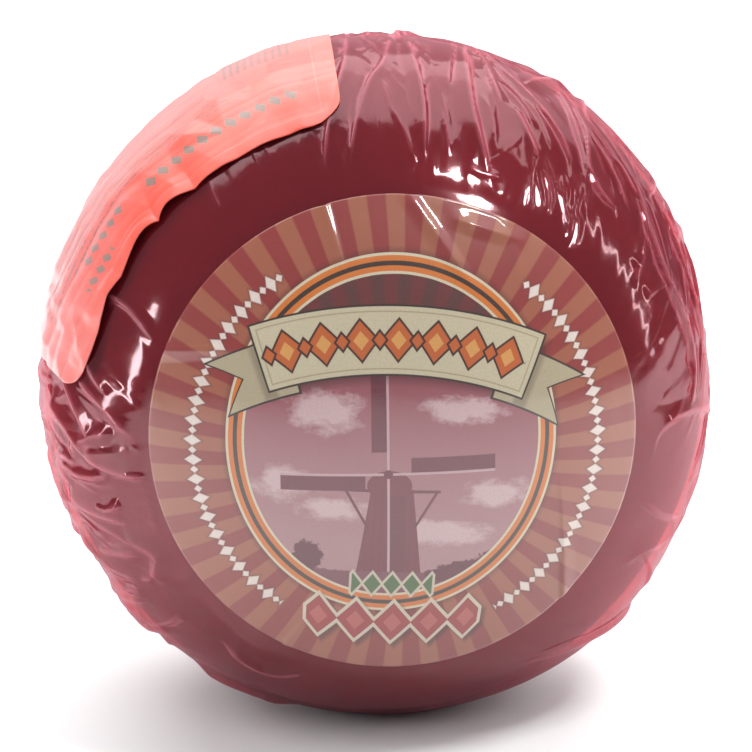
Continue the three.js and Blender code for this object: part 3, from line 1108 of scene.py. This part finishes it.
def paint_side_arcs(ink):
    """A white run of small marks up each side of the label."""
    x, y = ink.dot(1, 0) - 1.5, ink.dot(0, 1) + 2.3
    radius = (x * x + y * y).math("SQRT")
    angle = x.size().math("ARCTAN2", y) * 57.2958
    span = (angle - 92.0).size() - 56.0
    run = angle * 0.803
    depth = radius - 46.0
    large = ribbon_marks(ink, run, depth, 4.6, 1.25, 2.1, 200)
    small = ribbon_marks(ink, run + 2.3, depth, 4.6, 0.85, 1.0, 200)
    marks = large.least(small).most(span * 0.8)
    ink.paint((marks - 0.3).inside(0.5) * 0.5, printed(90, 44, 42))
    ink.paint(marks.inside(0.25) * 0.9, printed(250, 236, 226))


def round_label_material():
    material, tree, output = new_material("round_label_print")
    vector = flat_vector(tree, UV_SPAN, math.radians(2.5), -1.5, 2.3)
    ink = Ink(tree, vector)
    paint_rays(ink, (1.5, -2.3))
    paint_side_arcs(ink)
    inside = paint_oval(ink)
    lower = paint_sky(ink, inside)
    paint_mill(ink, lower)
    paint_ground(ink, lower)
    paint_banner(ink)
    paint_lower_marks(ink)
    edge = (ink.far(1.5, -2.3) - 57.6).size() * -1.0
    worn = noise(tree, vector, 0.12, 3).math("MULTIPLY_ADD", 4.0, -1.9, clamp=True)
    ink.paint((edge + 0.3).math("MULTIPLY", 2.5, clamp=True) * worn, printed(224, 190, 180))
    speckle = noise(tree, vector, 2.2, 3, 0.6)
    ink.paint(speckle.math("MULTIPLY_ADD", 0.5, -0.17, clamp=True), printed(150, 86, 84))
    fine = bump(tree, noise(tree, vector, 0.35, 3), 0.0003, 0.12)
    surface = shader(
        tree,
        "ShaderNodeBsdfPrincipled",
        Base_Color=ink.colour,
        Roughness=speckle.math("MULTIPLY_ADD", 0.12, 0.4),
        Coat_Weight=1.0,
        Coat_Roughness=0.06,
        Coat_IOR=1.55,
        Normal=fine,
        Coat_Normal=fine,
    )
    tree.links.new(surface.outputs[0], output.inputs["Surface"])
    return material


def side_label_material():
    material, tree, output = new_material("side_label_print")
    vector = flat_vector(tree, UV_SPAN)
    ink = Ink(tree, vector)
    cloud = noise(tree, vector, 0.08, 3)
    ink.colour = blended(tree, cloud, srgb(206, 62, 42), srgb(212, 84, 66))
    x, y = ink.dot(1, 0), ink.dot(0, 1)
    rows = (y.centred(2.4).size() - 0.38).inside(0.25)
    breaks = noise(tree, vector, 0.9, 1).math("GREATER_THAN", 0.46)
    block = ((x + 6.0).size() - 36.0).most((y - 5.0).size() - 19.0).inside()
    ink.paint(rows * breaks * block * 0.75, srgb(104, 70, 68))
    bold = ribbon_marks(ink, x + y * 0.3 - 14.0, y + 20.0, 3.9, 1.6, 2.7, 22.0)
    bold = bold.least(ribbon_marks(ink, x + y * 0.3 + 22.0, y + 17.0, 3.4, 1.4, 2.2, 9.0))
    bold = bold.least(ribbon_marks(ink, x + y * 0.3 + 30.0, y + 24.0, 3.2, 1.3, 1.9, 6.0))
    ink.paint(bold.inside(0.3) * 0.85, srgb(98, 98, 88))
    seal = ((x - 41.0).size() - 5.5).most((y + 2.0).size() - 4.5)
    ink.paint(seal.inside(0.4) * 0.8, srgb(226, 52, 30))
    lines = ((y + 2.0).centred(3.2).size() - 0.5).most((x - 41.0).size() - 4.0)
    ink.paint(lines.inside(0.3) * breaks * seal.inside() * 0.6, srgb(120, 74, 66))
    frame_line = ((x.size() - 46.0).most(y.size() - 29.0)).size() - 0.25
    ink.paint(frame_line.inside() * 0.6, srgb(196, 92, 80))
    bars = (x.centred(1.7).size() - 0.42).most((x - 33.0).size() - 9.0).most((y - 10.0).size() - 7.0)
    ink.paint(bars.inside(0.2) * 0.7, srgb(96, 60, 56))
    # Painted reflection: a pale pink wash, with noise, stronger towards the label's -x end and fading
    # towards its front edge where y is below zero, standing in for the sheen seen at a grazing angle.
    painted_reflection = x * -0.012 + y.least(0.0) * 0.02 + noise(tree, vector, 0.16, 3) * 0.4 + 0.3
    ink.paint(painted_reflection.math("MINIMUM", 1.0).math("MAXIMUM", 0.0) * 0.45, srgb(198, 164, 170))
    fine = bump(tree, noise(tree, vector, 0.3, 3), 0.0003, 0.15)
    surface = shader(
        tree,
        "ShaderNodeBsdfPrincipled",
        Base_Color=ink.colour,
        Roughness=cloud.math("MULTIPLY_ADD", 0.15, 0.42),
        Coat_Weight=0.8,
        Coat_Roughness=0.26,
        Coat_IOR=1.5,
        Normal=fine,
        Coat_Normal=fine,
    )
    tree.links.new(surface.outputs[0], output.inputs["Surface"])
    return material


def floor_material():
    material, tree, output = new_material("pale_floor")
    place = object_vector(tree)
    cloud = noise(tree, place, 3, 3)
    surface = shader(
        tree,
        "ShaderNodeBsdfPrincipled",
        Base_Color=blended(tree, cloud, (0.86, 0.86, 0.86), (0.9, 0.9, 0.9)),
        Roughness=cloud.math("MULTIPLY_ADD", 0.1, 0.6),
    )
    tree.links.new(surface.outputs[0], output.inputs["Surface"])
    return material


# ---------------------------------------------------------------- light, floor and camera


def aim(thing, target):
    thing.rotation_euler = (Vector(target) - thing.location).to_track_quat("-Z", "Y").to_euler()


def soft_box(name, place, target, width, length, power, glossy=True):
    """A white area light; one that isn't glossy lights the ball but isn't mirrored in it."""
    lamp = bpy.data.lights.new(name, "AREA")
    lamp.shape = "RECTANGLE"
    lamp.size = width
    lamp.size_y = length
    lamp.energy = power
    thing = bpy.data.objects.new(name, lamp)
    thing.location = place
    aim(thing, target)
    thing.visible_glossy = glossy
    thing.visible_camera = False
    bpy.context.scene.collection.objects.link(thing)


def make_lights():
    middle = (0.0, 0.0, 0.08)
    soft_box("overhead_box", (0.0, 0.68, 0.95), (0.0, 0.68, 0.0), 1.5, 1.2, 12)
    soft_box("overhead_fill", (0.0, 0.5, 1.0), (0.0, 0.4, 0.0), 1.5, 1.2, 10, glossy=False)
    soft_box("rear_wall", (0.0, 2.4, 1.3), (0.0, 0.0, 0.6), 4.0, 2.4, 24)
    soft_box("right_fill", (0.85, 0.15, 0.45), middle, 0.25, 0.8, 4.5, glossy=False)
    soft_box("right_streak", (0.8, 0.05, 0.4), middle, 0.02, 0.7, 0.6)
    soft_box("left_fill", (-0.85, 0.05, 0.4), middle, 0.4, 0.8, 4.5, glossy=False)
    soft_box("left_streak", (-0.7, -0.1, 0.16), middle, 0.04, 0.25, 0.5)
    soft_box("front_fill", (-0.2, -1.15, 1.15), middle, 1.2, 1.0, 7, glossy=False)
    soft_box("spark", (0.5, -0.39, 1.06), middle, 0.2, 0.3, 8.0)
    world = bpy.data.worlds.new("studio")
    world.use_nodes = True
    sky = world.node_tree.nodes["Background"]
    sky.inputs[0].default_value = (0.93, 0.95, 1.0, 1.0)
    sky.inputs[1].default_value = 0.28
    bpy.context.scene.world = world


def make_floor():
    size = 3.0
    rows = 24
    line = np.linspace(-size, size, rows) / MM
    x, y = np.meshgrid(line, line)
    points = np.stack([x, y, np.zeros_like(x)], -1).reshape(-1, 3)
    floor = mesh_object("floor", points, patch_quads(rows, rows))
    floor.data.materials.append(floor_material())


CAMERA_AZIMUTH = math.radians(-4)
CAMERA_ELEVATION = math.radians(14)
CAMERA_DISTANCE = 1.0
FRAME_WIDTH = 0.1745
AIM_DROP = 0.0007


def make_camera():
    camera = bpy.data.cameras.new("camera")
    camera.sensor_width = 36.0
    camera.lens = 36.0 * CAMERA_DISTANCE / FRAME_WIDTH
    camera.clip_end = 20.0
    thing = bpy.data.objects.new("camera", camera)
    target = Vector((0.0, 0.0, CENTRE_HEIGHT * MM - AIM_DROP))
    back = Vector(
        (
            math.sin(CAMERA_AZIMUTH) * math.cos(CAMERA_ELEVATION),
            -math.cos(CAMERA_AZIMUTH) * math.cos(CAMERA_ELEVATION),
            math.sin(CAMERA_ELEVATION),
        )
    )
    thing.location = target + back * CAMERA_DISTANCE
    aim(thing, target)
    bpy.context.scene.collection.objects.link(thing)
    bpy.context.scene.camera = thing


# ---------------------------------------------------------------- putting it together


def finish_piece(thing, material, node):
    thing.data.materials.append(material)
    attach(thing, "root")
    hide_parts(node)


height = film_height()
film = make_film(height)
finish_piece(film, film_material(), "film_wrap")
finish_piece(make_cheese(), wax_material(), "cheese_ball")
finish_piece(make_round_label(), round_label_material(), "front_label")
finish_piece(make_side_label(height), side_label_material(), "side_label")

make_floor()
make_lights()
make_camera()
bpy.context.scene.view_settings.view_transform = "Standard"
